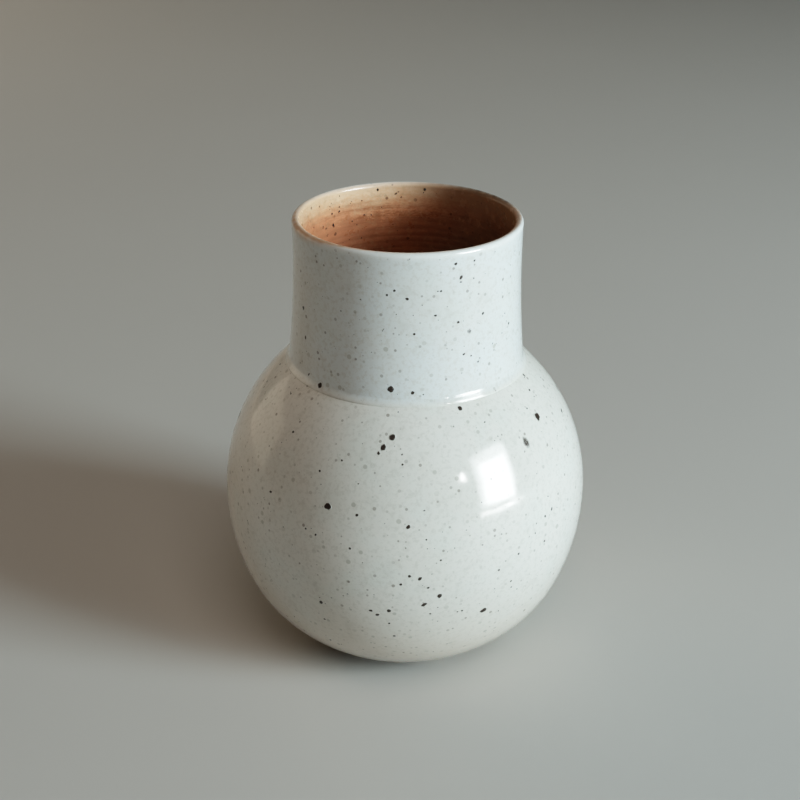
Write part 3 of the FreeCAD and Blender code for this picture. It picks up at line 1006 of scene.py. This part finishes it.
def make_neck_glaze():
    t = Tree("white_glaze_dipped")
    inside = t.attribute("inside")
    # Painted highlight: the outside of the lip turns whiter towards its top, all round.
    rim = t.spread(t.axis("Z"), RIM_Z - 2.6 * MM, RIM_Z - 0.9 * MM, 0, 0.65)
    outside = t.mix(rim, glaze_colour(t), RIM_PAINTED_HIGHLIGHT)
    colour = t.mix(inside, outside, mouth_colour(t, t.attribute("relief")))
    # Toast on the lip, with painted shade: tan at the half-shaded right end, dark brown at the
    # unlit back right, pinkish tan at the shaded left end.
    toast_shade_colour = t.mix(t.noise(700, 2, 0.6), BURNT, BURNT_DARK)
    toast_shade_colour = t.mix(t.spread(t.axis("X"), 0.0, 0.025, 0, 0.8), toast_shade_colour, TOAST_SHADE_RIGHT)
    back = t.times(t.spread(t.axis("Y"), 0.003, 0.016, 0, 0.9),
                   t.spread(t.axis("X"), 0.0, 0.02))
    toast_shade_colour = t.mix(back, toast_shade_colour, PAINTED_SHADE_BACK)
    toast_shade_colour = t.mix(t.spread(t.axis("X"), -0.028, -0.008, 0.75, 0), toast_shade_colour, TOAST_SHADE_LEFT)
    colour = t.mix(t.attribute("toast_and_shade"), colour, toast_shade_colour)
    gloss = t.math("ADD", outside_gloss(t), t.times(inside, 0.16))
    return t.finish(colour, gloss, glaze_bump(t), ior=GLAZE_IOR)


def make_liner_glaze():
    t = Tree("brown_liner_glaze")
    gloss = t.spread(t.noise(300, 3, 0.6), 0.3, 0.7, 0.26, 0.42)
    colour = mouth_colour(t, t.attribute("relief"))
    return t.finish(colour, gloss, glaze_bump(t), ior=GLAZE_IOR)


def make_speck(name, base):
    """Iron at a speck's heart, and the glaze around it (base) at its soft edge."""
    t = Tree(name)
    iron = t.attribute("iron")
    fleck = t.mix(t.noise(2600, 3, 0.7), IRON, IRON_RUST)
    ragged = t.math("ADD", iron, t.jitter(t.noise(1900, 2, 0.6), 0.5))
    amount = t.times(t.spread(ragged, 0.05, 0.75), t.spread(iron, 0.0, 0.12))
    colour = t.mix(amount, base(t), fleck)
    gloss = t.spread(iron, 0, 1, 0.14, 0.3)
    return t.finish(colour, gloss, t.bump(t.noise(1800, 2, 0.5), IRON_GRAIN, 0.5),
                    ior=GLAZE_IOR)


def make_clay(name, light, dark, rough):
    t = Tree(name)
    colour = t.mix(t.spread(t.noise(60, 4, 0.6), 0.35, 0.68), light, dark)
    colour = t.mix(t.spread(t.noise(900, 3, 0.7), 0.5, 0.72, 0, 0.55), colour, GROG)
    pin, _ = dots(t, 480, 0.4, 0.14, 0.4)
    colour = t.mix(t.times(pin, 0.85), colour, CLAY_PIN)
    grog = t.bump(t.noise(1300, 3, 0.65), GROG_DEPTH, 0.8)
    drag = t.bump(t.noise(420, 2, 0.6, t.scaled(1, 1, 6)), DRAG_DEPTH, 0.5, grog)
    dull = t.spread(t.noise(500, 2), 0.3, 0.7, rough - 0.08, rough + 0.06)
    return t.finish(colour, dull, drag, ior=CLAY_IOR)


def dress(obj, material, slot_name, *nodes):
    obj.data.materials.clear()
    obj.data.materials.append(material)
    if nodes:
        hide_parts(*nodes)
    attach(obj, "root")


OUTER = make_outer_glaze()
CLAY = make_clay("bare_stoneware", (0.50, 0.36, 0.245), (0.38, 0.25, 0.16), 0.86)
SLIP = make_clay("joint_slip_clay", (0.42, 0.30, 0.20), (0.33, 0.22, 0.14), 0.9)
dress(belly_coat, OUTER, "cream_glaze", "belly_glaze")
dress(neck_coat, make_neck_glaze(), "white_glaze", "neck_glaze")
dress(liner_coat, make_liner_glaze(), "brown_glaze", "liner_glaze")
dress(belly_clay, CLAY, "stoneware", "belly")
dress(foot_clay, CLAY, "stoneware", "foot_ring")
dress(belly_specks, make_speck("iron_in_cream", glaze_colour), "cream_glaze")
dress(neck_specks, make_speck("iron_in_white", glaze_colour), "white_glaze")
dress(mouth_specks, make_speck("iron_in_mouth", mouth_colour), "white_glaze")
for node, material in (("neck_collar", CLAY), ("joint_slip", SLIP)):
    mesh = frame["nodes"][node].data
    mesh.materials.clear()
    mesh.materials.append(material)

# ------------------------------------------------------------------ studio
scene = bpy.context.scene

FLOOR_WIDE = 8.0
FRONT_Y = -4.0
BACK_Y = 1.6
SWEEP_R = 0.6
SWEEP_STEPS = 12
BACKDROP_TOP = 3.5
PAPER = (0.53, 0.505, 0.475)
PAPER_LIGHT = (0.56, 0.535, 0.505)
SKY = (0.20, 0.197, 0.19)
LIGHT_AIM = Vector((0, 0, 0.08))


def make_floor():
    """Pale floor that sweeps up into a backdrop behind the object."""
    run = [(FRONT_Y, 0.0), (BACK_Y, 0.0)]
    for i in range(1, SWEEP_STEPS + 1):
        a = math.pi / 2 * i / SWEEP_STEPS
        run.append((BACK_Y + SWEEP_R * math.sin(a), SWEEP_R * (1 - math.cos(a))))
    run.append((BACK_Y + SWEEP_R, BACKDROP_TOP))
    n = len(run)
    verts = [(x, y, z) for x in (-FLOOR_WIDE / 2, FLOOR_WIDE / 2) for y, z in run]
    faces = [(i, n + i, n + i + 1, i + 1) for i in range(n - 1)]
    floor = add_object("floor", verts, faces, {})
    t = Tree("floor_paper")
    floor.data.materials.append(t.finish(t.mix(t.noise(3, 2), PAPER, PAPER_LIGHT), 0.75))


def softbox(name, azimuth, elevation, distance, wide, high, radiance, colour, roll=0.0):
    """Rectangular soft light; azimuth is measured from the camera side towards +X,
    in degrees like the elevation. roll is in radians."""
    data = bpy.data.lights.new(name, "AREA")
    data.shape = "RECTANGLE"
    data.size = wide
    data.size_y = high
    data.energy = radiance * math.pi * wide * high
    data.color = colour
    obj = bpy.data.objects.new(name, data)
    a, e = math.radians(azimuth), math.radians(elevation)
    obj.location = LIGHT_AIM + distance * Vector(
        (math.sin(a) * math.cos(e), -math.cos(a) * math.cos(e), math.sin(e)))
    scene.collection.objects.link(obj)
    facing = (LIGHT_AIM - obj.location).to_track_quat("-Z", "Y")
    obj.rotation_mode = "QUATERNION"
    obj.rotation_quaternion = facing @ Quaternion((0, 0, 1), roll)
    return obj


make_floor()
# Light that shades: it doesn't show in the gloss.
for light in (
    softbox("window", 65.5, 16, 1.6, 0.50, 0.80, 25.5, (0.79, 1.0, 1.07)),
    softbox("front_soft", 12, 60, 1.8, 1.0, 1.0, 2.1, (1.12, 1.0, 0.90)),
    softbox("warm_wall", -130, 20, 1.8, 1.2, 1.2, 1.5, (1.15, 1.0, 0.80)),
):
    light.visible_glossy = False
# What the gloss shows: the window pane, a small lamp, the sill and the room's warm wall.
for light in (
    softbox("window_glint", 60.85, 15.36, 1.5, 0.6725, 0.81, 13.0, (0.93, 1.0, 1.02), -0.109),
    softbox("window_clear", 61.2, 13.2, 1.5, 0.52, 0.62, 22.0, (0.95, 1.0, 1.02), -0.109),
    softbox("lamp_glint", 39.06, 22.59, 1.5, 0.085, 0.085, 50.0, (1.0, 1.0, 1.0)),
    softbox("sill_glint", 60.12, -2.2, 1.5, 0.798, 0.026, 45.0, (1.0, 1.0, 1.0), -0.0712),
    softbox("wall_glint", -116, 4, 1.7, 1.05, 1.0, 0.65, (1.0, 0.88, 0.68)),
):
    light.visible_diffuse = False
world = bpy.data.worlds.new("studio")
scene.world = world
world.use_nodes = True
sky = world.node_tree.nodes["Background"]
sky.inputs["Color"].default_value = (*SKY, 1)
sky.inputs["Strength"].default_value = 1.0
world.cycles_visibility.diffuse = False
world.cycles_visibility.glossy = False


TONE_WHITE = 2.0
TONE_PIVOT = 0.15
TONE_TOP = 1.2
TONE_SHARE = TONE_PIVOT / TONE_TOP
TONE_CONTRAST = 1.35
TONE_STEPS = [0.012, 0.03, 0.06, 0.10, 0.15, 0.22, 0.32, 0.45, 0.60, 0.80, 1.05, 1.4]


def tone(x):
    ratio = (x / TONE_PIVOT) ** TONE_CONTRAST * TONE_SHARE
    return TONE_TOP * ratio / (1 - TONE_SHARE + ratio)


def set_tone():
    """Print-like contrast: a soft toe and shoulder over the scene's light."""
    view = scene.view_settings
    view.view_transform = "Standard"
    view.look = "None"
    view.use_curve_mapping = True
    mapping = view.curve_mapping
    mapping.white_level = (TONE_WHITE,) * 3
    points = mapping.curves[3].points
    for x in TONE_STEPS:
        points.new(x / TONE_WHITE, tone(x))
    points[len(points) - 1].location = (1.0, tone(TONE_WHITE))
    mapping.update()


set_tone()

# ------------------------------------------------------------------ camera
CAMERA_AT = Vector((-0.0285, -6.9364, 3.8519)) * BELLY_R + Vector((0, 0, BELLY_Z))
CAMERA_DOWN = math.radians(25.86)
CAMERA_ROLL = 0.0074
SENSOR_MM = 36.0
LENS_MM = 63.0
CLIP_START = 0.02
camera = bpy.data.objects.new("camera", bpy.data.cameras.new("camera"))
camera.data.sensor_width = SENSOR_MM
camera.data.lens = LENS_MM
camera.data.clip_start = CLIP_START
camera.matrix_world = (
    Matrix.Translation(CAMERA_AT)
    @ Matrix.Rotation(math.pi / 2 - CAMERA_DOWN, 4, "X")
    @ Matrix.Rotation(CAMERA_ROLL, 4, "Z")
)
scene.collection.objects.link(camera)
scene.camera = camera
